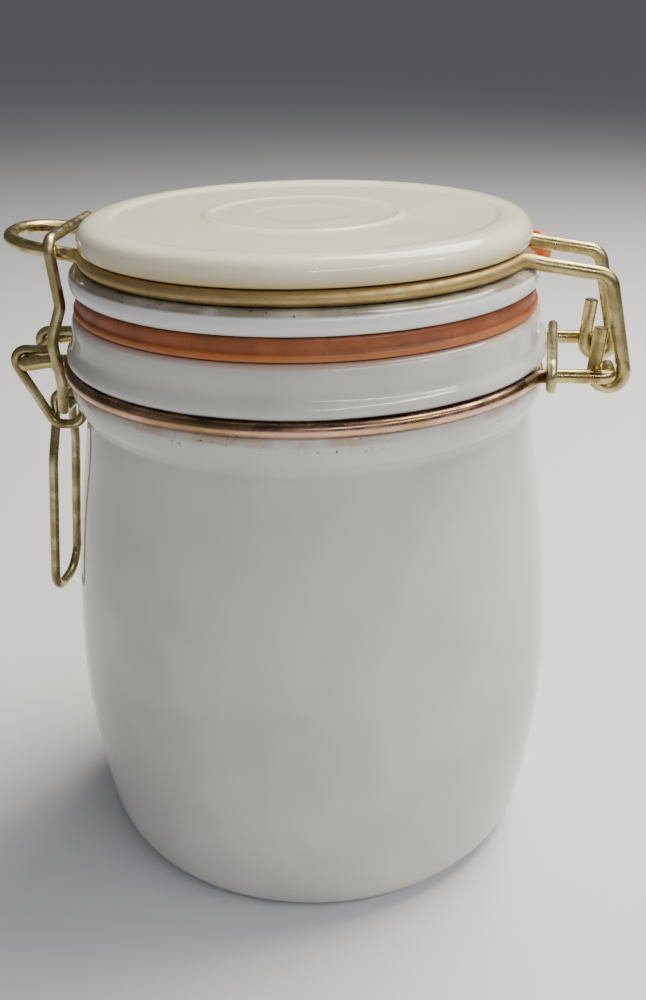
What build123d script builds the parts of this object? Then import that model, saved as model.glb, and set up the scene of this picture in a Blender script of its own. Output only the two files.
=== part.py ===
from build123d import *
from math import cos, radians, sin
import os

# Lidded milk-glass canister with a wire bail closure.
# Millimetres, +Z up. The origin is the centre of the foot, on the surface it
# stands on; the jar's axis is Z, the hinge is on +X and the latch on -X.

os.makedirs("parts", exist_ok=True)

# ---------------------------------------------------------------- dimensions
BAIL = 3.0              # wire of the lid bail and of the neck bail
LEVER_WIRE = 2.2
LINK_WIRE = 2.5
CLAMP_WIRE = 2.2
END_CHAMFER = 0.25      # softened ends of cut wire
SEAT = 0.05             # a wire's play in its glass groove

# jar
FOOT_R = 43.7           # outside of the ring that it stands on
DISH_R, DISH_Z = 37.0, 2.4
BELLY_R, BELLY_Z = 55.8, 38.0
WALL = 4.5
FLOOR_Z = 7.0
WAIST_R, WAIST_Z = 49.6, 106.6
BEAD_R, BEAD_Z = 52.3, 111.2
COLLAR_R, COLLAR_Z = 52.9, 119.3    # rounded collar above the wire groove
NECK_R = 51.4
RIM_Z = 128.4
MOUTH_R = 42.0
LUG_X, LUG_Z = 48.6, 120.4          # boss on the hinge side, between the arms
LUG_R, LUG_HALF_W = 4.3, 13.0

# gasket
GASKET_T = 4.6
GASKET_IN, GASKET_OUT = 41.4, 50.6
TAB_AZIMUTH, TAB_W, TAB_T = 30.0, 15.0, 2.4
TAB_LEVEL = 2.6                     # level run past the ring's edge
TAB_BEND, TAB_CURL = 5.4, 80.0      # radius and angle of its underside's curl
TAB_TIP = 4.2                       # straight end after the curl

# lid
FLANGE_Z = RIM_Z + GASKET_T + 0.1   # underside of the lid's flange
FLANGE_R = 51.0
LID_TOP = 147.4
DISC_R, DISC_Z = 48.6, 144.3        # widest circle of the disc and its height
RIM_IN = 42.4                       # inner edge of the raised border
RING_R = 21.4                       # raised ring in the middle
SPIGOT_R, SPIGOT_Z = 40.9, 127.6    # plug that centres the lid in the mouth
LID_HOLLOW_R, LID_HOLLOW_Z = 35.5, 141.2

# closure
LID_WIRE_R, LID_WIRE_Z = 47.4, 139.8
NECK_WIRE_R, NECK_WIRE_Z = 52.2, 116.3
HINGE_X, HINGE_Z = 65.2, NECK_WIRE_Z
NECK_ARM_Y = 15.3
HOOK_Y = 12.0                       # hinge hooks on the lid bail
HOOK_R = BAIL / 2 + 0.08 + BAIL / 2
PIN_END_Y = 7.6                     # free ends of the hinge pins
LID_ARM_Z = 136.8
LID_CORNER_X = 64.2
HOOK_TAIL = 9.4
LID_NOSE_X, LID_NOSE_Y = 64.9, 12.2
LID_NOSE_Z = 142.7                  # at its tip, a little above the groove
PIVOT_X, PIVOT_Z = -62.5, 115.2     # crossbar of the neck bail's nose
NECK_NOSE_Y = 11.1
LEVER_Y, LEG_Y, HANDLE_Y = 8.2, 5.9, 8.4
EYE_X, EYE_Z = -54.4, 104.7         # the link's pin in the lever's eye
EYE_R, EYE_ROOF, EYE_FLOOR = 3.5, 2.6, 4.2
TAIL_END = -55.2
HANDLE_X, HANDLE_Z = -62.2, 56.6
LINK_TOP = 143.75
LINK_X = -52.3
LINK_TOP_Y, LINK_MID_Y = 15.5, 14.6  # half widths at the crossbar and at mid-height
LINK_LOW_Y, LINK_PIN_Y = 10.9, 4.6   # half widths at the eyes and at the pins' ends
CLAMP_X, CLAMP_TURN = 54.2, 3.3


def on_circle(radius, azimuth, z):
    """Point on a level circle about the jar's axis."""
    a = radians(azimuth)
    return Vector(radius * cos(a), radius * sin(a), z)


def tangent_meets(radius, azimuth, y, z):
    """Where the tangent of that circle reaches the level line at this y."""
    a = radians(azimuth)
    run = (radius * sin(a) - y) / cos(a)
    return Vector(radius * cos(a) + run * sin(a), y, z)


# ------------------------------------------------------------------- the jar
with BuildPart() as jar:
    with BuildSketch(Plane.XZ):
        with BuildLine():
            groove_r = BAIL / 2 + SEAT
            lip_low = (NECK_WIRE_R - 0.05, NECK_WIRE_Z - groove_r)
            lip_high = (
                NECK_WIRE_R + groove_r * cos(radians(82)),
                NECK_WIRE_Z + groove_r * sin(radians(82)),
            )
            # underside: a shallow dish inside the foot ring
            Line((0, DISH_Z), (DISH_R - 6, DISH_Z))
            Spline((DISH_R - 6, DISH_Z), (DISH_R, 0.7), (DISH_R + 3.4, 0),
                   tangents=((1, 0), (1, 0)))
            Line((DISH_R + 3.4, 0), (FOOT_R, 0))
            # heel, belly and slow taper up to the waist
            Spline((FOOT_R, 0), (53.1, 17.5), (BELLY_R, BELLY_Z), (55.3, 60),
                   (52.9, 86), (WAIST_R, WAIST_Z),
                   tangents=((1, 0.05), (-0.1, 1)))
            # rolled bead below the wire, the wire's groove, the collar above
            ThreePointArc((WAIST_R, WAIST_Z), (BEAD_R, BEAD_Z), lip_low)
            ThreePointArc(lip_low, (NECK_WIRE_R - groove_r, NECK_WIRE_Z), lip_high)
            Spline(lip_high, (COLLAR_R, COLLAR_Z), (NECK_R, 122.4),
                   tangents=((0.5, 1), (-0.1, 1)))
            Line((NECK_R, 122.4), (NECK_R - 0.1, RIM_Z - 1.8))
            RadiusArc((NECK_R - 0.1, RIM_Z - 1.8), (NECK_R - 1.9, RIM_Z), -1.8)
            Line((NECK_R - 1.9, RIM_Z), (MOUTH_R + 1.6, RIM_Z))
            RadiusArc((MOUTH_R + 1.6, RIM_Z), (MOUTH_R, RIM_Z - 1.6), -1.6)
            # inside: mouth, shoulder, wall and floor
            Line((MOUTH_R, RIM_Z - 1.6), (MOUTH_R, 112))
            Spline((MOUTH_R, 112), (45.4, 102), (48.3, 88), (50.8, 62),
                   (BELLY_R - WALL, BELLY_Z), (48.6, 18), (38.0, FLOOR_Z),
                   tangents=((0, -1), (-1, -0.06)))
            Line((38.0, FLOOR_Z), (0, FLOOR_Z))
            Line((0, FLOOR_Z), (0, DISH_Z))
        make_face()
    revolve(axis=Axis.Z)
    # boss on the hinge side of the neck, between the two arms of the bail
    lug_axis = Axis((LUG_X, 0, LUG_Z), (0, 1, 0))
    with BuildSketch(Plane((LUG_X, 0, LUG_Z))):
        Ellipse(LUG_R, LUG_HALF_W)
        with Locations((-LUG_R / 2, 0)):
            Rectangle(LUG_R, 2 * LUG_HALF_W, mode=Mode.SUBTRACT)
    revolve(axis=lug_axis)
jar.part.label = "jar"

# ------------------------------------------------------------------- the lid
with BuildPart() as lid:
    with BuildSketch(Plane.XZ):
        with BuildLine():
            groove_r = BAIL / 2 + SEAT
            lip = [
                (LID_WIRE_R + groove_r * cos(radians(a)),
                 LID_WIRE_Z + groove_r * sin(radians(a)))
                for a in (82, -82)
            ]
            # top: raised ring in the middle, sunk field, raised border
            Polyline((0, LID_TOP - 0.5), (RING_R - 4.2, LID_TOP - 0.5),
                     (RING_R - 3.2, LID_TOP), (RING_R - 0.8, LID_TOP),
                     (RING_R + 0.4, LID_TOP - 0.8), (RIM_IN, LID_TOP - 0.8),
                     (RIM_IN + 1.4, LID_TOP - 0.1))
            Spline((RIM_IN + 1.4, LID_TOP - 0.1), (46.3, LID_TOP - 0.5),
                   (DISC_R, DISC_Z), (DISC_R - 0.05, 142.6), lip[0],
                   tangents=((1, 0.05), (-0.55, -0.8)))
            # groove for the bail
            ThreePointArc(lip[0], (LID_WIRE_R - groove_r, LID_WIRE_Z), lip[1])
            # flange: a rolled edge over the gasket
            Spline(lip[1], (FLANGE_R - 0.9, 137.6), (FLANGE_R, 135.6),
                   (FLANGE_R - 1.3, FLANGE_Z),
                   tangents=((1, -0.15), (-1, -0.35)))
            Line((FLANGE_R - 1.3, FLANGE_Z), (SPIGOT_R + 0.4, FLANGE_Z))
            # plug and hollow underside
            Line((SPIGOT_R + 0.4, FLANGE_Z), (SPIGOT_R, SPIGOT_Z + 1.5))
            RadiusArc((SPIGOT_R, SPIGOT_Z + 1.5), (SPIGOT_R - 1.5, SPIGOT_Z), 1.5)
            Line((SPIGOT_R - 1.5, SPIGOT_Z), (LID_HOLLOW_R + 1.0, SPIGOT_Z))
            Spline((LID_HOLLOW_R + 1.0, SPIGOT_Z), (LID_HOLLOW_R, SPIGOT_Z + 1.4),
                   (LID_HOLLOW_R - 2.2, 137.5), (LID_HOLLOW_R - 8, LID_HOLLOW_Z),
                   tangents=((-0.8, 0.6), (-1, 0)))
            Line((LID_HOLLOW_R - 8, LID_HOLLOW_Z), (0, LID_HOLLOW_Z))
            Line((0, LID_HOLLOW_Z), (0, LID_TOP - 0.5))
        make_face()
    revolve(axis=Axis.Z)
lid.part.label = "lid"

# ------------------------------------------------------ the rubber gasket
with BuildPart() as gasket:
    # flat ring with a bevelled outer edge, gripped round the lid's plug
    seat = RIM_Z + 0.05
    with BuildSketch(Plane.XZ):
        with BuildLine():
            Polyline((GASKET_IN, seat), (GASKET_OUT - 1.2, seat),
                     (GASKET_OUT, seat + 1.1), (GASKET_OUT, seat + 3.6),
                     (GASKET_OUT - 0.9, seat + GASKET_T),
                     (GASKET_IN, seat + GASKET_T), close=True)
        make_face()
    revolve(axis=Axis.Z)
    # pull tab: a tongue that runs out past the flange and curls up
    tab_plane = Plane(
        origin=(0, 0, 0),
        x_dir=(cos(radians(TAB_AZIMUTH)), sin(radians(TAB_AZIMUTH)), 0),
        z_dir=(sin(radians(TAB_AZIMUTH)), -cos(radians(TAB_AZIMUTH)), 0),
    )
    tab_z = seat + 1.0
    along = Vector(cos(radians(TAB_CURL)), sin(radians(TAB_CURL)))
    inwards = Vector(-along.Y, along.X)
    with BuildSketch(tab_plane):
        with BuildLine():
            root_low, bend_low = (GASKET_OUT - 3, tab_z), (GASKET_OUT + TAB_LEVEL, tab_z)
            root_top = (GASKET_OUT - 3, tab_z + TAB_T)
            bend_top = (GASKET_OUT + TAB_LEVEL - 0.4, tab_z + TAB_T)
            curl_end = Vector(bend_low[0] + TAB_BEND * along.Y,
                              tab_z + TAB_BEND * (1 - along.X))
            tip_out = curl_end + along * TAB_TIP
            tip_in = tip_out + inwards * TAB_T
            curl_end_in = curl_end + inwards * TAB_T
            Line(root_low, bend_low)
            JernArc(bend_low, (1, 0), TAB_BEND, TAB_CURL)
            Polyline(curl_end, tip_out, tip_in, curl_end_in)
            Spline(curl_end_in, bend_top, tangents=(-along, (-1, 0)))
            Polyline(bend_top, root_top, root_low)
        make_face()
    extrude(amount=TAB_W / 2, both=True)
    tab_corners = gasket.edges().filter_by(lambda e: abs(e.length - TAB_T) < 0.02).sort_by(
        Axis.Z)[-2:]
    fillet(tab_corners, 4.0)
gasket.part.label = "gasket"

# ---------------------------------------------------------------- the lid bail
# One wire: a hook on each hinge pin, an arm over to the lid, half a turn in the
# lid's groove on each side, and a round loop (the nose) for the latch.
with BuildPart() as lid_wire:
    hook_lean, shaft_lean = radians(6), radians(9)
    tail_foot = Vector(HINGE_X - HOOK_R * cos(hook_lean), -HOOK_Y,
                       HINGE_Z + HOOK_R * sin(hook_lean))
    tail_end = tail_foot + Vector(sin(hook_lean), 0, cos(hook_lean)) * HOOK_TAIL
    hook_top = Vector(HINGE_X + HOOK_R * cos(shaft_lean), -HOOK_Y,
                      HINGE_Z + HOOK_R * sin(shaft_lean))
    hinge_az, nose_az = -23.0, -157.0
    hinge_bend = tangent_meets(LID_WIRE_R, hinge_az, -HOOK_Y, LID_WIRE_Z)
    nose_bend = tangent_meets(LID_WIRE_R, nose_az, -LID_NOSE_Y, LID_WIRE_Z)
    with BuildLine() as lid_wire_path:
        Line(tail_end, tail_foot)
        ThreePointArc(tail_foot, (HINGE_X, -HOOK_Y, HINGE_Z - HOOK_R), hook_top)
        FilletPolyline(
            hook_top,
            (LID_CORNER_X, -HOOK_Y, LID_ARM_Z),
            (hinge_bend.X + 4.6, -HOOK_Y, LID_WIRE_Z - 1.0),
            hinge_bend,
            on_circle(LID_WIRE_R, hinge_az, LID_WIRE_Z),
            radius=(3.6, 12, 4.0),
        )
        ThreePointArc(
            on_circle(LID_WIRE_R, hinge_az, LID_WIRE_Z),
            on_circle(LID_WIRE_R, -90, LID_WIRE_Z),
            on_circle(LID_WIRE_R, nose_az, LID_WIRE_Z),
        )
        FilletPolyline(
            on_circle(LID_WIRE_R, nose_az, LID_WIRE_Z),
            nose_bend,
            (-LID_NOSE_X, -LID_NOSE_Y, LID_NOSE_Z),
            (-LID_NOSE_X, 0, LID_NOSE_Z),
            radius=(4.0, 11.0),
        )
    with BuildSketch(Plane(lid_wire_path.line @ 0, z_dir=lid_wire_path.line % 0)):
        Circle(BAIL / 2)
    sweep(path=lid_wire_path.line)
    chamfer(lid_wire.faces().filter_by(GeomType.PLANE).sort_by(Axis.X)[-1].edges(),
            END_CHAMFER)
    mirror(about=Plane.XZ)
lid_wire.part.label = "lid_wire"

# --------------------------------------------------------------- the neck bail
# One wire: hinge pins turned inwards, two arms, the neck's groove, and a nose
# whose crossbar is the lever's pivot.
with BuildPart() as neck_wire:
    arm_az, root_az = -26.0, -163.5
    arm_bend = tangent_meets(NECK_WIRE_R, arm_az, -NECK_ARM_Y, NECK_WIRE_Z)
    root_bend = tangent_meets(NECK_WIRE_R, root_az, -NECK_NOSE_Y, NECK_WIRE_Z)
    with BuildLine() as neck_wire_path:
        FilletPolyline(
            (HINGE_X, -PIN_END_Y, HINGE_Z),
            (HINGE_X, -NECK_ARM_Y, HINGE_Z),
            arm_bend,
            on_circle(NECK_WIRE_R, arm_az, NECK_WIRE_Z),
            radius=(1.75, 4.0),
        )
        ThreePointArc(
            on_circle(NECK_WIRE_R, arm_az, NECK_WIRE_Z),
            on_circle(NECK_WIRE_R, -90, NECK_WIRE_Z),
            on_circle(NECK_WIRE_R, root_az, NECK_WIRE_Z),
        )
        FilletPolyline(
            on_circle(NECK_WIRE_R, root_az, NECK_WIRE_Z),
            root_bend,
            (root_bend.X - 4.4, -NECK_NOSE_Y, NECK_WIRE_Z),
            (PIVOT_X, -NECK_NOSE_Y, PIVOT_Z),
            (PIVOT_X, 0, PIVOT_Z),
            radius=(2.2, 4.0, 1.8),
        )
    with BuildSketch(Plane(neck_wire_path.line @ 0, z_dir=neck_wire_path.line % 0)):
        Circle(BAIL / 2)
    sweep(path=neck_wire_path.line)
    chamfer(neck_wire.faces().filter_by(GeomType.PLANE).sort_by(Axis.X)[-1].edges(),
            END_CHAMFER)
    mirror(about=Plane.XZ)
neck_wire.part.label = "neck_wire"

# ---------------------------------------------- the clamp ring on the two arms
# A closed oval of thinner wire that holds the neck bail's arms together.
with BuildPart() as neck_clamp_ring:
    ring_r = BAIL / 2 + CLAMP_WIRE / 2 + SEAT
    turn = radians(CLAMP_TURN)
    ring_plane = Plane(origin=(CLAMP_X, 0, NECK_WIRE_Z), x_dir=(sin(turn), cos(turn), 0),
                       z_dir=(cos(turn), -sin(turn), 0))
    with BuildLine(ring_plane) as clamp_path:
        Line((-NECK_ARM_Y, -ring_r), (NECK_ARM_Y, -ring_r))
        ThreePointArc((NECK_ARM_Y, -ring_r), (NECK_ARM_Y + ring_r, 0), (NECK_ARM_Y, ring_r))
        Line((NECK_ARM_Y, ring_r), (-NECK_ARM_Y, ring_r))
        ThreePointArc((-NECK_ARM_Y, ring_r), (-NECK_ARM_Y - ring_r, 0), (-NECK_ARM_Y, -ring_r))
    with BuildSketch(Plane(clamp_path.line @ 0, z_dir=clamp_path.line % 0)):
        Circle(CLAMP_WIRE / 2)
    sweep(path=clamp_path.line)
neck_clamp_ring.part.label = "neck_clamp_ring"

# ------------------------------------------------------------- the latch link
# A springy wire: a crossbar over the lid bail's nose, two bowed legs, and two
# pins turned inwards through the eyes of the lever.
with BuildPart() as latch_link:
    with BuildLine() as link_path:
        FilletPolyline(
            (LINK_X, 0, LINK_TOP),
            (LINK_X, -LINK_TOP_Y, LINK_TOP),
            (LINK_X + 1.3, -LINK_TOP_Y + 0.3, LINK_TOP - 14.2),
            (LINK_X - 1.7, -LINK_MID_Y, EYE_Z + 17.0),
            (LINK_X - 0.2, -LINK_MID_Y, EYE_Z + 7.5),
            (EYE_X, -LINK_LOW_Y, EYE_Z),
            (EYE_X, -LINK_PIN_Y, EYE_Z),
            radius=(2.8, 5.0, 9.0, 8.0, 2.0),
        )
    with BuildSketch(Plane(link_path.line @ 0, z_dir=link_path.line % 0)):
        Circle(LINK_WIRE / 2)
    sweep(path=link_path.line)
    chamfer(latch_link.faces().filter_by(GeomType.PLANE).sort_by(Axis.Z)[0].edges(),
            END_CHAMFER)
    mirror(about=Plane.XZ)
latch_link.part.label = "latch_link"

# ------------------------------------------------------------ the latch lever
# One wire: each side has a tail above the crossbar, a hook round it, a straight
# run down to an eye of one full turn on the link's pin, and a leg of the handle.
with BuildPart() as latch_lever:
    floor_z = EYE_Z - EYE_FLOOR
    roof_z = EYE_Z + EYE_ROOF
    run = Vector(EYE_X - PIVOT_X, 0, floor_z - PIVOT_Z).normalized()
    out = Vector(run.Z, 0, -run.X)              # square to the run, away from the jar
    hold = BAIL / 2 + LEVER_WIRE / 2 + 0.12     # from the crossbar's centre to the wire's
    run_start = Vector(PIVOT_X, -LEVER_Y, PIVOT_Z) + out * hold
    tail_z = PIVOT_Z + hold
    hook_corner = run_start + run * ((tail_z - run_start.Z) / run.Z)
    eye_entry = run_start + run * ((floor_z - run_start.Z) / run.Z)
    step = (LEVER_Y - LEG_Y) / 2
    with BuildLine() as lever_path:
        FilletPolyline(
            (TAIL_END, -LEVER_Y, tail_z),
            hook_corner,
            eye_entry,
            (EYE_X + EYE_R, -LEVER_Y, floor_z),
            (EYE_X + EYE_R, -LEVER_Y + step, roof_z),
            (EYE_X - EYE_R, -LEG_Y, roof_z),
            (EYE_X - EYE_R - 0.4, -LEG_Y, EYE_Z - 5.0),
            (HANDLE_X + 3.2, -HANDLE_Y, EYE_Z - 13.0),
            (HANDLE_X, -HANDLE_Y, HANDLE_Z),
            (HANDLE_X, 0, HANDLE_Z),
            radius=(hold, 3.2, 3.0, 2.6, 2.6, 6.0, 12.0, 6.2),
        )
    with BuildSketch(Plane(lever_path.line @ 0, z_dir=lever_path.line % 0)):
        Circle(LEVER_WIRE / 2)
    sweep(path=lever_path.line)
    chamfer(latch_lever.faces().filter_by(GeomType.PLANE).sort_by(Axis.Z)[-1].edges(),
            END_CHAMFER)
    mirror(about=Plane.XZ)
latch_lever.part.label = "latch_lever"

# ------------------------------------------------------------------- the files
for piece in (jar, lid, gasket, lid_wire, neck_wire, neck_clamp_ring, latch_link,
              latch_lever):
    export_step(piece.part, f"parts/{piece.part.label}.step")
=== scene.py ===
import math

import bmesh
import bpy
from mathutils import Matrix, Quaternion, Vector


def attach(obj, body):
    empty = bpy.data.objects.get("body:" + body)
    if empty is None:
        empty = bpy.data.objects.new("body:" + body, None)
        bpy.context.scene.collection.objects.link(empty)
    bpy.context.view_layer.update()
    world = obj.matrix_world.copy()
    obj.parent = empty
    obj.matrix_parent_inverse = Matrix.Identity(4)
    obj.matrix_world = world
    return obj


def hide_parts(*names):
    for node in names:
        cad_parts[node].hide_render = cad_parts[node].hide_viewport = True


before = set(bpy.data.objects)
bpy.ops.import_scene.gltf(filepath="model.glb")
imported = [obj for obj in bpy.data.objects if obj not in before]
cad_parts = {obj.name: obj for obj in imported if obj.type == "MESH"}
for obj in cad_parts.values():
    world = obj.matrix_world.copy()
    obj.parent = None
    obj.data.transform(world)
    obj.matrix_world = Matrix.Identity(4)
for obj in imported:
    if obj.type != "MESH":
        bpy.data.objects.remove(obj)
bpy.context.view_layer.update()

# ---------------------------------------------------------------- the studio
# A pale table top that runs back out of sight, a large softbox high behind the
# hinge, a broad dim one on the latch side and a long thin strip in front of the
# hinge. The jar's front and latch side lie in soft shade.
MM = 0.001
TABLE_SIZE = 60.0


def srgb(code):
    """A six-digit sRGB hex colour as linear red, green, blue and alpha."""
    parts = [int(code[i:i + 2], 16) / 255 for i in (1, 3, 5)]
    return [c / 12.92 if c <= 0.04045 else ((c + 0.055) / 1.055) ** 2.4 for c in parts] + [1.0]


def add_node(tree, kind, inputs=None, **settings):
    """Adds a shader node; inputs are values, or sockets to link from."""
    made = tree.nodes.new(kind)
    for name, value in settings.items():
        setattr(made, name, value)
    for name, value in (inputs or {}).items():
        if isinstance(value, bpy.types.NodeSocket):
            tree.links.new(value, made.inputs[name])
        else:
            made.inputs[name].default_value = value
    return made


def new_finish(name):
    """A new material, its node tree and its principled shader."""
    finish = bpy.data.materials.new(name)
    finish.use_nodes = True
    return finish, finish.node_tree, finish.node_tree.nodes["Principled BSDF"]


camera_place = Vector((0.0362, -0.2574, 0.1918))
camera_aim = Vector((0.0029, 0.0, 0.0799))
camera_roll = math.radians(-1.12)
bpy.ops.object.camera_add(location=camera_place)
camera = bpy.context.object
camera.data.lens = 43.0
camera.data.clip_start = 0.01
look = (camera_aim - camera_place).to_track_quat("-Z", "Y")
camera.rotation_mode = "QUATERNION"
camera.rotation_quaternion = look @ Quaternion((0, 0, 1), camera_roll)
bpy.context.scene.camera = camera


def softbox(name, place, width, height, power, tint):
    """A rectangular area light that faces the middle of the jar."""
    bpy.ops.object.light_add(type="AREA", location=place)
    light = bpy.context.object
    light.name = name
    light.data.shape = "RECTANGLE"
    light.data.size, light.data.size_y = width, height
    light.data.energy = power
    light.data.color = srgb(tint)[:3]
    aim = Vector((0, 0, 0.09)) - Vector(place)
    light.rotation_euler = aim.to_track_quat("-Z", "Y").to_euler()


softbox("overhead_softbox", (0.30, 0.28, 0.76), 0.60, 0.50, 13.5, "#fff9ea")
softbox("window_strip", (0.44, -0.42, 0.54), 0.90, 0.008, 2.8, "#fbfbff")
softbox("fill_softbox", (-0.62, -0.46, 0.50), 0.80, 0.60, 0.2, "#fbfaf6")

world = bpy.data.worlds.new("studio_surround")
world.use_nodes = True
bpy.context.scene.world = world
surround = world.node_tree.nodes["Background"]
surround.inputs["Color"].default_value = srgb("#cfd2d8")
surround.inputs["Strength"].default_value = 0.18

bpy.ops.mesh.primitive_plane_add(size=TABLE_SIZE, location=(0, 0, 0))
table = bpy.context.object
table.name = "table_top"
table_finish, _, shader = new_finish("matt_pale_card")
shader.inputs["Base Color"].default_value = srgb("#e8e8ec")
shader.inputs["Roughness"].default_value = 0.75
table.data.materials.append(table_finish)


# ------------------------------------------------------------------- the jar
# Pressed opal glass, one piece: a foot ring round a shallow dish, a barrel body,
# a rolled bead, the groove for the neck bail, a collar and a flat sealing rim.
# Two mould seams run up it, under the hinge and under the latch.
JAR_RINGS = [
    (4, 2.4), (20, 2.4), (30, 2.35), (33.5, 1.9), (36.2, 0.85), (38.4, 0.1),
    (40.4, 0.0), (42.6, 0.0), (44.6, 0.05), (46.5, 0.5), (48.3, 1.5), (49.8, 3.0),
    (51.0, 5.3), (51.9, 8.2), (52.8, 12.5), (53.7, 18), (54.6, 25), (55.4, 32),
    (55.85, 39), (56.0, 46), (55.8, 53), (55.4, 60), (54.9, 66.5), (54.3, 73),
    (53.5, 80), (52.6, 86.5), (51.6, 92.5), (50.8, 98), (50.25, 102), (49.9, 104.8),
    (49.6, 106.2), (50.1, 107.0), (51.1, 108.1), (51.95, 109.6), (52.5, 111.4),
    (52.6, 112.8), (52.45, 114.0), (52.1, 114.6), (50.95, 115.0), (50.4, 116.3),
    (50.95, 117.6), (52.35, 118.1), (52.85, 118.6), (53.0, 119.3), (52.85, 120.1),
    (52.3, 121.0), (51.75, 121.8), (51.5, 122.9), (51.4, 125), (51.3, 126.5),
    (50.95, 127.6), (50.1, 128.25), (48.9, 128.4), (46, 128.4), (43.9, 128.4),
    (42.7, 128.1), (42.05, 127.3), (42.0, 126), (42.0, 119), (42.0, 113.5),
    (42.6, 109.5), (44.2, 105), (46.0, 99.5), (47.6, 91.5), (49.2, 80), (50.7, 65),
    (51.5, 50), (51.4, 38), (50.6, 27), (49.0, 18), (46.6, 12), (43.2, 8.6),
    (38, 7.1), (24, 7.0), (4, 7.0),
]


def turned(name, rings, sides, hollow=False):
    """A closed shell about Z grown ring by ring; rings are (radius, height) in mm."""
    bpy.ops.object.select_all(action="DESELECT")
    radius, height = rings[0]
    bpy.ops.mesh.primitive_circle_add(vertices=sides, radius=radius * MM,
                                      location=(0, 0, height * MM), enter_editmode=True)
    for next_radius, next_height in rings[1:] + (rings[:1] if hollow else []):
        rise = (next_height - height) * MM
        bpy.ops.mesh.extrude_region_move(TRANSFORM_OT_translate={"value": (0, 0, rise)})
        grow = next_radius / radius
        bpy.ops.transform.resize(value=(grow, grow, 1), center_override=(0, 0, 0))
        radius, height = next_radius, next_height
    bpy.ops.mesh.select_all(action="SELECT")
    if hollow:
        bpy.ops.mesh.remove_doubles(threshold=0.001 * MM)
    else:
        bpy.ops.mesh.fill_holes(sides=0)
        bpy.ops.mesh.select_all(action="DESELECT")
        mesh = bmesh.from_edit_mesh(bpy.context.object.data)
        for face in mesh.faces:
            face.select = len(face.verts) > 4
        bpy.ops.mesh.poke()
    bpy.ops.mesh.select_all(action="SELECT")
    bpy.ops.mesh.normals_make_consistent(inside=False)
    bpy.ops.object.mode_set(mode="OBJECT")
    bpy.ops.object.transform_apply(location=True)
    piece = bpy.context.object
    piece.name = piece.data.name = name
    return piece


def smoothed(piece, levels):
    """Subdivides the piece's surface for good and shades it smooth."""
    bpy.ops.object.select_all(action="DESELECT")
    piece.select_set(True)
    bpy.context.view_layer.objects.active = piece
    rounding = piece.modifiers.new("rounding", "SUBSURF")
    rounding.levels = rounding.render_levels = levels
    bpy.ops.object.modifier_apply(modifier=rounding.name)
    bpy.ops.object.shade_smooth()


glass_jar = turned("glass_jar", JAR_RINGS, 72)

# The mould seams are fine raised lines from the foot to the bead.
SEAM_HALF_WIDTH, SEAM_HEIGHT, SEAM_FOOT, SEAM_HEAD = 0.35 * MM, 0.12 * MM, 3 * MM, 112 * MM
bpy.ops.object.mode_set(mode="EDIT")
for side in (-SEAM_HALF_WIDTH, SEAM_HALF_WIDTH):
    bpy.ops.mesh.select_all(action="SELECT")
    bpy.ops.mesh.bisect(plane_co=(0, side, 0), plane_no=(0, 1, 0))
mesh = bmesh.from_edit_mesh(glass_jar.data)
mesh.normal_update()
for v in mesh.verts:
    faces_out = v.normal.x * math.copysign(1, v.co.x) > 0.3
    if abs(v.co.y) < 0.01 * MM and faces_out and SEAM_FOOT < v.co.z < SEAM_HEAD:
        v.co.x += math.copysign(SEAM_HEIGHT, v.co.x)
bmesh.update_edit_mesh(glass_jar.data)
bpy.ops.object.mode_set(mode="OBJECT")
smoothed(glass_jar, 2)

# The boss on the hinge side of the neck is pressed with the jar, so it swells
# out of the same surface.
BOSS_X, BOSS_Z, BOSS_REACH, BOSS_HALF_WIDTH = 48.6 * MM, 120.4 * MM, 4.3 * MM, 13.0 * MM
WALL_MIDDLE = 45 * MM
for v in glass_jar.data.vertices:
    if v.co.x > WALL_MIDDLE and abs(v.co.z - BOSS_Z) < BOSS_REACH:
        fullness = 1 - (v.co.y / BOSS_HALF_WIDTH) ** 2 - ((v.co.z - BOSS_Z) / BOSS_REACH) ** 2
        if fullness > 0:
            v.co.x = max(v.co.x, BOSS_X + BOSS_REACH * math.sqrt(fullness))


def cloud(tree, place, size, low, high, weak=0.0, strong=1.0, detail=2.0, rough=0.5):
    """Soft patches about this many mm across, running from weak to strong."""
    grain = add_node(tree, "ShaderNodeTexNoise", {
        "Vector": place, "Scale": 1 / (size * MM), "Detail": detail, "Roughness": rough})
    return add_node(tree, "ShaderNodeMapRange", {
        "Value": grain.outputs["Fac"], "From Min": low, "From Max": high,
        "To Min": weak, "To Max": strong}, interpolation_type="SMOOTHSTEP").outputs["Result"]


def band(tree, place, low, high, soft):
    """White where place lies between low and high mm, fading out over soft mm."""
    foot = add_node(tree, "ShaderNodeMapRange", {
        "Value": place, "From Min": (low - soft) * MM, "From Max": low * MM},
        interpolation_type="SMOOTHSTEP")
    head = add_node(tree, "ShaderNodeMapRange", {
        "Value": place, "From Min": high * MM, "From Max": (high + soft) * MM,
        "To Min": 1.0, "To Max": 0.0}, interpolation_type="SMOOTHSTEP")
    both = add_node(tree, "ShaderNodeMath", {
        0: foot.outputs["Result"], 1: head.outputs["Result"]}, operation="MULTIPLY")
    return both.outputs["Value"]


def coated(tree, under, over, strength, *masks):
    """The colour under, with over laid on it at this strength where all masks are white."""
    cover = strength
    for mask in masks:
        cover = add_node(tree, "ShaderNodeMath", {0: cover, 1: mask},
                         operation="MULTIPLY").outputs["Value"]
    under, over = [srgb(c) if isinstance(c, str) else c for c in (under, over)]
    return add_node(tree, "ShaderNodeMix", {0: cover, 6: under, 7: over},
                    data_type="RGBA").outputs[2]


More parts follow.
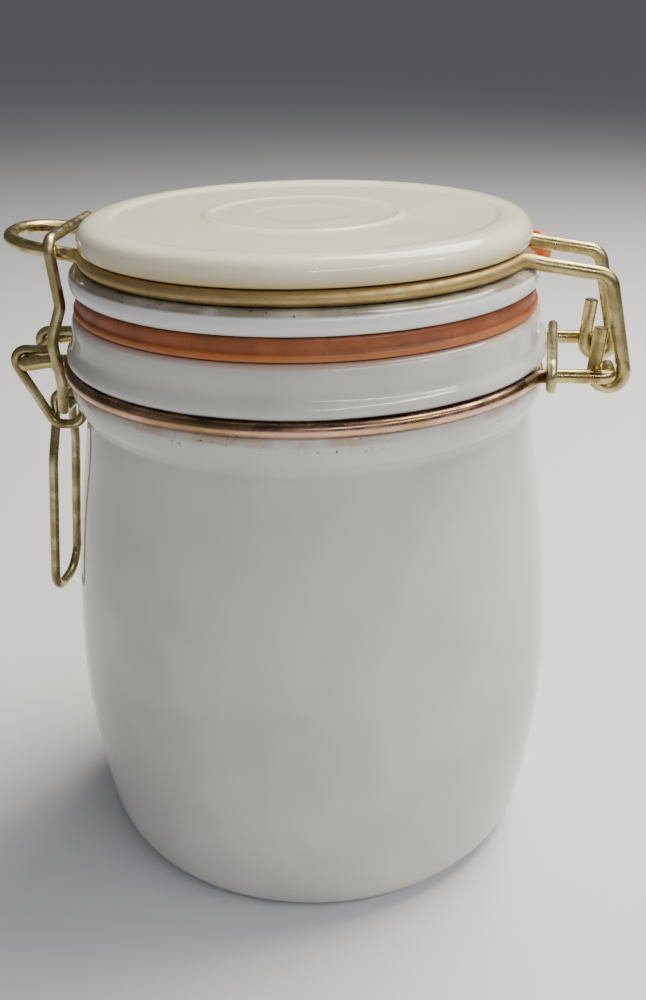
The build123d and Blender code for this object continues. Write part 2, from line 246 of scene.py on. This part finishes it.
def textured(tree, shader, place, *reliefs):
    """Relief in the skin, coarse to fine: size in mm, detail, strength and depth in mm."""
    for size, detail, strength, depth in reliefs:
        grain = add_node(tree, "ShaderNodeTexNoise", {
            "Vector": place, "Scale": 1 / (size * MM), "Detail": detail})
        relief = add_node(tree, "ShaderNodeBump", {
            "Height": grain.outputs["Fac"], "Strength": strength, "Distance": depth * MM})
        if shader.inputs["Normal"].is_linked:
            tree.links.new(shader.inputs["Normal"].links[0].from_socket, relief.inputs["Normal"])
        tree.links.new(relief.outputs["Normal"], shader.inputs["Normal"])


def surface_place(tree):
    """Object coordinates, height, and distance from the jar's axis."""
    place = add_node(tree, "ShaderNodeTexCoord").outputs["Object"]
    height = add_node(tree, "ShaderNodeSeparateXYZ", {"Vector": place}).outputs["Z"]
    level = add_node(tree, "ShaderNodeVectorMath", {0: place, 1: (1, 1, 0)},
                     operation="MULTIPLY")
    reach = add_node(tree, "ShaderNodeVectorMath", {0: level.outputs["Vector"]},
                     operation="LENGTH")
    return place, height, reach.outputs["Value"]


# Opal glass: white all through and glossy, and light sinks a little way in, so
# shadows in the grooves are soft and faintly warm. Pressing leaves a slow ripple,
# and rust from the wire has run into the groove and speckled the bead under it.
jar_glass, tree, shader = new_finish("opal_glass_pressed")
place, height, reach = surface_place(tree)
outside = band(tree, reach, 47.5, 90, 1.0)
milk = coated(tree, "#d6d6d0", "#c9c9c3", 1.0, cloud(tree, place, 30, 0.35, 0.65))
milk = coated(tree, milk, "#dbd5cb", 0.35, cloud(tree, place, 17, 0.5, 0.7))
patchy = cloud(tree, place, 9, 0.40, 0.62, detail=3.0)
specks = cloud(tree, place, 0.8, 0.62, 0.70, detail=3.0, rough=0.6)
milk = coated(tree, milk, "#b09072", 0.55, band(tree, height, 113.3, 115.3, 0.9), patchy, outside)
milk = coated(tree, milk, "#77533a", 1.0, band(tree, height, 112.0, 115.4, 1.2), specks,
              patchy, outside)
milk = coated(tree, milk, "#4a4038", 1.0, band(tree, height, 106.0, 107.0, 0.4),
              cloud(tree, place, 21, 0.56, 0.64),
              cloud(tree, place, 1.1, 0.62, 0.70, detail=3.0, rough=0.6), outside)
milk = coated(tree, milk, "#7a6a58", 0.8, band(tree, height, 117.2, 118.2, 0.5), patchy, outside)
milk = coated(tree, milk, "#c98f72", 0.45, band(tree, height, 127.7, 129.0, 0.5))
milk = coated(tree, milk, "#8d8a84", 0.6, band(tree, height, -1.0, 0.5, 0.5),
              cloud(tree, place, 1.2, 0.45, 0.6, detail=4.0, rough=0.7))
tree.links.new(milk, shader.inputs["Base Color"])
tree.links.new(cloud(tree, place, 14, 0.35, 0.75, 0.04, 0.09, detail=4.0),
               shader.inputs["Roughness"])
textured(tree, shader, place, (16, 1.0, 0.35, 0.20), (2.2, 2.0, 0.25, 0.02))
shader.inputs["IOR"].default_value = 1.51
shader.inputs["Subsurface Weight"].default_value = 0.5
shader.inputs["Subsurface Radius"].default_value = (1.0, 0.85, 0.7)
shader.inputs["Subsurface Scale"].default_value = 3 * MM
glass_jar.data.materials.append(jar_glass)
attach(glass_jar, "jar_body")
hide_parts("jar")


# ------------------------------------------------------------------- the lid
# Pressed opal glass, a thick disc: a raised border, a sunk field with a raised
# ring in it, the groove for the lid bail, a rolled flange and a hollow plug.
LID_RINGS = [
    (4, 146.8), (9.4, 146.8), (10.4, 146.95), (11.2, 147.0), (15, 146.98), (19.2, 146.95),
    (19.9, 147.15), (20.5, 147.4), (21.1, 147.4), (21.7, 147.15), (22.3, 146.85),
    (23.6, 146.78), (30, 146.75), (36.5, 146.72), (40.4, 146.7), (41.1, 146.78),
    (41.7, 147.15), (42.5, 147.35), (44.4, 147.38), (46.0, 147.2), (47.2, 146.7), (48.1, 145.8),
    (48.65, 144.7), (48.75, 143.6), (48.6, 142.5), (48.25, 141.75), (47.5, 141.6),
    (46.4, 141.3), (45.6, 139.8), (46.4, 138.3), (47.65, 138.0), (48.7, 138.05),
    (49.9, 137.8), (50.85, 137.0), (51.2, 135.8), (51.05, 134.6), (50.5, 133.6),
    (49.5, 133.1), (46, 133.1), (42.2, 133.1), (41.25, 132.8), (41.2, 131),
    (41.0, 129.2), (40.7, 128.1), (39.8, 127.6), (38.0, 127.6), (36.5, 127.65),
    (35.6, 128.6), (35.0, 131.5), (33.9, 136.5), (31.2, 140.2), (27.5, 141.2),
    (15, 141.2), (4, 141.2),
]
glass_lid = turned("glass_lid", LID_RINGS, 80)
smoothed(glass_lid, 2)

# The same opal glass a touch creamier, dulled by handling on top. The thin lower
# edge of the disc is tinted with a painted reflection of the brass wire in the
# groove, and a painted shadow of the wire lies on the groove's lower lip and the
# shoulder below it, with dark dirt specks in it.
lid_glass, tree, shader = new_finish("opal_glass_lid")
place, height, reach = surface_place(tree)
at_rim = band(tree, reach, 46.0, 90, 2.5)
milk = coated(tree, "#f5f2dc", "#edead0", 1.0, cloud(tree, place, 24, 0.35, 0.65))
milk = coated(tree, milk, "#e4e6e4", 1.0, band(tree, height, 120, 136.5, 2.0))
# painted reflection: the brass wire's colour laid into the disc's lower edge
milk = coated(tree, milk, "#c9b47c", 0.85, band(tree, height, 140.4, 142.2, 2.6), at_rim)
# painted shadow of the lid bail below its groove (first layer), with dark dirt specks laid in it
# (second layer)
wire_shadow_and_dirt = band(tree, height, 137.3, 138.8, 0.6)
milk = coated(tree, milk, "#736754", 0.85, wire_shadow_and_dirt, at_rim,
              cloud(tree, place, 8, 0.3, 0.6, 0.65, 1.0, detail=3.0))
milk = coated(tree, milk, "#3d3128", 0.9, wire_shadow_and_dirt, at_rim,
              cloud(tree, place, 0.9, 0.64, 0.70, detail=3.0, rough=0.6))
tree.links.new(milk, shader.inputs["Base Color"])
tree.links.new(cloud(tree, place, 11, 0.3, 0.75, 0.05, 0.14, detail=5.0, rough=0.6),
               shader.inputs["Roughness"])
textured(tree, shader, place, (13, 1.0, 0.3, 0.12), (2.0, 2.0, 0.3, 0.02))
shader.inputs["IOR"].default_value = 1.51
shader.inputs["Subsurface Weight"].default_value = 0.6
shader.inputs["Subsurface Radius"].default_value = (1.0, 0.85, 0.62)
shader.inputs["Subsurface Scale"].default_value = 3 * MM
glass_lid.data.materials.append(lid_glass)
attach(glass_lid, "lid_body")
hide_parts("lid")


# ---------------------------------------------------------------- the gasket
# A moulded rubber ring squeezed between lid and rim, with a lip along its lower
# edge, and a pull tab that runs out past the flange and curls up.
GASKET_RINGS = [
    (41.4, 128.5), (45, 128.46), (49.0, 128.46), (50.0, 128.5), (50.5, 128.75),
    (50.6, 129.3), (50.45, 129.9), (50.1, 130.2), (49.95, 130.6), (50.0, 131.6),
    (49.95, 132.6), (49.6, 133.0), (48.8, 133.05), (45, 133.05), (41.4, 133.0),
]
rubber_gasket = turned("rubber_gasket", GASKET_RINGS, 80, hollow=True)
smoothed(rubber_gasket, 2)

# The tab is one tongue: it leaves the ring level, curls up and ends square with
# rounded corners.
TAB_ROOT, TAB_BEND, TAB_UNDER, TAB_THICK, TAB_WIDE = 46.5, 53.2, 129.45, 2.4, 15.0
TAB_CURL, TAB_RADIUS, TAB_TIP, TAB_BEARING, TAB_CORNER = 80, 5.4, 4.2, 30, 4
bpy.ops.object.select_all(action="DESELECT")
bpy.ops.mesh.primitive_cube_add(size=MM, location=(
    (TAB_ROOT + TAB_BEND) / 2 * MM, 0, (TAB_UNDER + TAB_THICK / 2) * MM))
pull_tab = bpy.context.object
pull_tab.scale = (TAB_BEND - TAB_ROOT, TAB_WIDE, TAB_THICK)
bpy.ops.object.transform_apply(location=True, scale=True)
bpy.ops.object.mode_set(mode="EDIT")
bpy.ops.mesh.select_mode(type="FACE")
bpy.ops.mesh.select_all(action="DESELECT")
mesh = bmesh.from_edit_mesh(pull_tab.data)
for face in mesh.faces:
    face.select_set(face.normal.x > 0.9)
bmesh.update_edit_mesh(pull_tab.data)
bpy.ops.mesh.spin(steps=8, angle=math.radians(TAB_CURL), axis=(0, 1, 0),
                  center=(TAB_BEND * MM, 0, (TAB_UNDER + TAB_RADIUS) * MM))
curl = math.radians(TAB_CURL)
bpy.ops.mesh.extrude_region_move(TRANSFORM_OT_translate={
    "value": (TAB_TIP * MM * math.cos(curl), 0, TAB_TIP * MM * math.sin(curl))})
bpy.ops.mesh.select_mode(type="EDGE")
bpy.ops.mesh.select_all(action="DESELECT")
mesh = bmesh.from_edit_mesh(pull_tab.data)
top = max(v.co.z for v in mesh.verts)
for edge in mesh.edges:
    middle = (edge.verts[0].co + edge.verts[1].co) / 2
    across = abs(edge.verts[0].co.y - edge.verts[1].co.y)
    edge.select_set(across < 0.01 * MM and middle.z > top - 0.8 * MM
                    and abs(edge.calc_length() - TAB_THICK * MM) < 0.05 * MM)
bmesh.update_edit_mesh(pull_tab.data)
bpy.ops.mesh.bevel(offset=TAB_CORNER * MM, segments=6, affect="EDGES")
bpy.ops.mesh.select_all(action="SELECT")
bpy.ops.mesh.normals_make_consistent(inside=False)
bpy.ops.object.mode_set(mode="OBJECT")
pull_tab.rotation_euler.z = math.radians(TAB_BEARING)
bpy.ops.object.transform_apply(rotation=True)
edges = pull_tab.modifiers.new("soft_edges", "BEVEL")
edges.width, edges.segments, edges.angle_limit = 0.5 * MM, 3, math.radians(35)
bpy.ops.object.modifier_apply(modifier=edges.name)

bpy.ops.object.select_all(action="DESELECT")
rubber_gasket.select_set(True)
bpy.context.view_layer.objects.active = rubber_gasket
moulded_on = rubber_gasket.modifiers.new("moulded_on", "BOOLEAN")
moulded_on.operation, moulded_on.solver, moulded_on.object = "UNION", "EXACT", pull_tab
bpy.ops.object.modifier_apply(modifier=moulded_on.name)
bpy.data.objects.remove(pull_tab)
bpy.ops.object.shade_smooth_by_angle(angle=math.radians(40))

# Natural rubber, moulded: an even orange when new, now browned by air where it
# is open, darker along its top edge where it meets the lid, and with a dull, faintly
# waxy skin. A painted highlight runs along the lower lip, painted shade darkens the
# face above it under the lid's flange, and the pull tab is painted brighter, as if lit.
rubber, tree, shader = new_finish("aged_natural_rubber")
place, height, reach = surface_place(tree)
tone = coated(tree, "#ab5c2f", "#914d24", 1.0, cloud(tree, place, 7, 0.35, 0.65, detail=4.0))
tone = coated(tree, tone, "#6f3a1d", 0.5,
              cloud(tree, place, 1.3, 0.58, 0.70, detail=3.0, rough=0.6))
# painted highlight along the lower lip
tone = coated(tree, tone, "#c27a3e", 0.5, band(tree, height, 128.7, 129.7, 0.35),
              band(tree, reach, 50.3, 51.6, 0.5))
# painted shade on the face above the lip, under the lid's flange
tone = coated(tree, tone, "#6e3a1c", 0.35, band(tree, height, 130.3, 133.4, 0.4),
              band(tree, reach, 30, 50.9, 0.7))
# darker along the top edge, where the gasket meets the lid
tone = coated(tree, tone, "#4a2a18", 0.5, band(tree, height, 132.9, 133.6, 0.25),
              cloud(tree, place, 3, 0.35, 0.6, detail=3.0))
# painted light: the pull tab coloured brighter orange, as if lit
tone = coated(tree, tone, "#e07f3a", 0.9, band(tree, reach, 53.0, 90, 1.8))
tree.links.new(tone, shader.inputs["Base Color"])
tree.links.new(cloud(tree, place, 4, 0.3, 0.7, 0.38, 0.62, detail=4.0),
               shader.inputs["Roughness"])
textured(tree, shader, place, (0.9, 4.0, 0.35, 0.06))
shader.inputs["IOR"].default_value = 1.52
shader.inputs["Subsurface Weight"].default_value = 0.06
shader.inputs["Subsurface Radius"].default_value = (1.0, 0.35, 0.15)
shader.inputs["Subsurface Scale"].default_value = 1 * MM
rubber_gasket.data.materials.append(rubber)
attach(rubber_gasket, "lid_body")
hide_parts("gasket")


# ----------------------------------------------------------------- the wires
# Drawn steel wire, bent cold and plated: zinc with a yellow passivation, which
# goes brassy and uneven. Handling has dulled it in patches, and damp has pitted
# it with small dark specks.
def plated(name, bright, dull, tarnish, specked, sleek, rough):
    """A plated wire finish, its tree and shader, where on the wire, and the colour so far."""
    finish, tree, shader = new_finish(name)
    place, height, reach = surface_place(tree)
    colour = coated(tree, bright, dull, 1.0,
                    cloud(tree, place, 6, 0.38, 0.62, detail=4.0, rough=0.6))
    colour = coated(tree, colour, tarnish, 0.65,
                    cloud(tree, place, 4.5, 0.56, 0.68, detail=5.0, rough=0.65))
    colour = coated(tree, colour, "#3d3022", 0.7, cloud(
        tree, place, 0.8, 0.67 - specked, 0.73 - specked, detail=3.0, rough=0.6))
    tree.links.new(cloud(tree, place, 3, 0.3, 0.7, sleek, rough, detail=4.0, rough=0.6),
                   shader.inputs["Roughness"])
    textured(tree, shader, place, (0.7, 4.0, 0.25, 0.03))
    shader.inputs["Metallic"].default_value = 1.0
    tree.links.new(colour, shader.inputs["Base Color"])
    return finish, tree, shader, place, height, reach, colour


# The lid bail is bright where it is handled and dull in its groove.
GROOVE_DULLING = 0.26
lid_finish, tree, shader, _, _, reach, colour = plated(
    "yellow_zinc_lid_wire", "#c9ba88", "#a89764", "#7d6a49", 0.01, 0.20, 0.40)
in_groove = band(tree, reach, 30, 49.8, 1.6)
colour = coated(tree, colour, "#bfa672", 0.8, in_groove)
tree.links.new(colour, shader.inputs["Base Color"])
gloss = add_node(tree, "ShaderNodeMath", {
    0: in_groove, 1: GROOVE_DULLING, 2: shader.inputs["Roughness"].links[0].from_socket},
    operation="MULTIPLY_ADD")
tree.links.new(gloss.outputs["Value"], shader.inputs["Roughness"])

latch_finish, *_ = plated("yellow_zinc_latch_wire", "#c4b88c", "#9f9264", "#6d6143", 0.02,
                          0.22, 0.44)
ring_finish, *_ = plated("yellow_zinc_clamp_ring", "#d2cb9c", "#b0a878", "#8b7f57", 0.0,
                         0.24, 0.44)

# The neck bail sits in the damp groove, so there its plating is coppery below
# and darker brown along the top. Its arms stay brassy.
neck_finish, tree, shader, place, height, reach, colour = plated(
    "yellow_zinc_neck_wire", "#cbbb80", "#a48f58", "#7a5f3c", 0.02, 0.18, 0.40)
in_groove = band(tree, reach, 30, 54.0, 2.5)
coppery = coated(tree, "#d9ae93", "#b08e68", 1.0, cloud(tree, place, 10, 0.4, 0.62, detail=4.0))
colour = coated(tree, colour, coppery, 1.0, in_groove)
# darker brown along the top of the wire where it lies in the groove
colour = coated(tree, colour, "#564536", 1.0, band(tree, height, 117.2, 130, 0.8), in_groove,
                cloud(tree, place, 6, 0.3, 0.6, 0.3, 0.85, detail=4.0))
tree.links.new(colour, shader.inputs["Base Color"])

for finish, names in ((lid_finish, ["lid_wire"]), (neck_finish, ["neck_wire"]),
                      (ring_finish, ["neck_clamp_ring"]),
                      (latch_finish, ["latch_link", "latch_lever"])):
    for name in names:
        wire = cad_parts[name]
        wire.data.materials.clear()
        wire.data.materials.append(finish)
